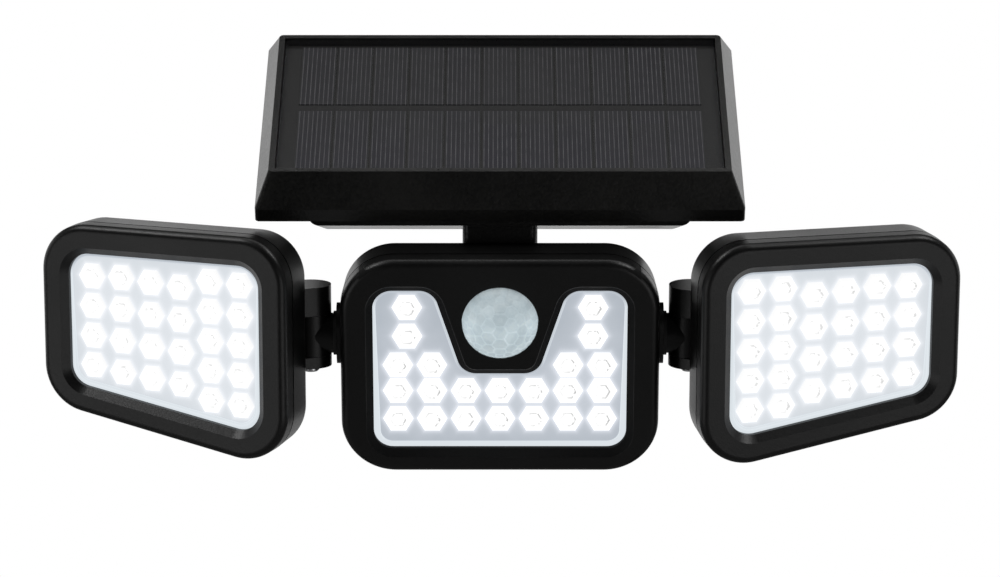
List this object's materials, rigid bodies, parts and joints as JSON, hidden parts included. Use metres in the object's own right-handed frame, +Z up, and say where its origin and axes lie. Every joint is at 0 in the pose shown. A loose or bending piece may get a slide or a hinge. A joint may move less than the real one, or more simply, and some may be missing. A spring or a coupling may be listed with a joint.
{
  "type": "motion sensor security light",
  "caption": "Wall-mounted solar security light: sloped solar panel housing over three adjustable LED heads, with a domed motion sensor in the middle head.",
  "frame": {"origin": "middle of the wall plate's back face, on the wall", "axes": "+Z up, -Y out from the wall to the front, +X to the right seen from the front"},
  "size_m": [0.2852, 0.0991, 0.1395],
  "materials": {
    "black_plastic": "fine matt grain",
    "panel_glass": "smooth, clear",
    "solar_cells": "dark blue-black silicon",
    "backsheet": "dark",
    "gasket": "matt",
    "screws": "plated",
    "steel_plate": "zinc plated",
    "battery_sleeve": "shrink sleeve",
    "circuit_board": "white lacquer",
    "button_rubber": "matt",
    "dome": "milky",
    "sensor_can": "smooth",
    "lens": "frosted, lit from behind",
    "led": "yellow-white"
  },
  "bodies": {
    "housing": {"panel_frame": "black_plastic", "panel_glass": "panel_glass", "solar_cells": "solar_cells", "panel_backsheet": "backsheet", "housing_gasket": "gasket", "rear_housing": "black_plastic", "housing_screws": "screws", "wall_plate": "steel_plate", "lock_screw": "screws", "battery_cell": "battery_sleeve", "battery_cradle": "black_plastic", "control_board": "circuit_board", "mode_switch": "black_plastic", "button_ring": "gasket", "neck": "black_plastic", "neck_screws": "screws"},
    "mode_button": {"mode_button": "button_rubber"},
    "centre_head": {"centre_rear_shell": "black_plastic", "centre_gasket": "gasket", "centre_bezel": "black_plastic", "centre_lens": "lens", "centre_led_board": "circuit_board", "centre_leds": "led", "centre_case_screws": "screws", "sensor_dome": "dome", "sensor_can": "sensor_can", "pivot_screw": "screws", "pivot_nut": "screws", "pivot_washers": "screws"},
    "left_arm": {"left_arm": "black_plastic", "left_friction_ring": "gasket", "left_tilt_screw": "screws", "left_tilt_washer": "screws"},
    "left_head": {"left_rear_shell": "black_plastic", "left_gasket": "gasket", "left_bezel": "black_plastic", "left_lens": "lens", "left_led_board": "circuit_board", "left_leds": "led", "left_case_screws": "screws", "left_knuckle_screw": "screws"},
    "right_arm": {"right_arm": "black_plastic", "right_friction_ring": "gasket", "right_tilt_screw": "screws", "right_tilt_washer": "screws"},
    "right_head": {"right_rear_shell": "black_plastic", "right_gasket": "gasket", "right_bezel": "black_plastic", "right_lens": "lens", "right_led_board": "circuit_board", "right_leds": "led", "right_case_screws": "screws", "right_knuckle_screw": "screws"}
  },
  "joints": [
    {"name": "centre_tilt", "type": "hinge", "parent": "housing", "child": "centre_head", "pos_m": [0, -0.0574, -0.0387], "axis": [1, 0, 0], "range_deg": [-2, 38]},
    {"name": "left_tilt", "type": "hinge", "parent": "centre_head", "child": "left_arm", "pos_m": [-0.0592, -0.06593, -0.05682], "axis": [1, 0, 0], "range_deg": [-8, 40]},
    {"name": "left_swing", "type": "hinge", "parent": "left_arm", "child": "left_head", "pos_m": [-0.0592, -0.06593, -0.05682], "axis": [0, 0.2164, -0.9763], "range_deg": [-28.5, 19.5]},
    {"name": "right_tilt", "type": "hinge", "parent": "centre_head", "child": "right_arm", "pos_m": [0.0592, -0.06593, -0.05682], "axis": [1, 0, 0], "range_deg": [-11, 37]},
    {"name": "right_swing", "type": "hinge", "parent": "right_arm", "child": "right_head", "pos_m": [0.0592, -0.06593, -0.05682], "axis": [0, -0.2672, 0.9636], "range_deg": [-20, 28]},
    {"name": "button_press", "type": "slide", "parent": "housing", "child": "mode_button", "axis": [0, 0, 1], "range_m": [0, 0.001], "stiffness_N_per_m": 250, "springref_m": -0.001}
  ]
}
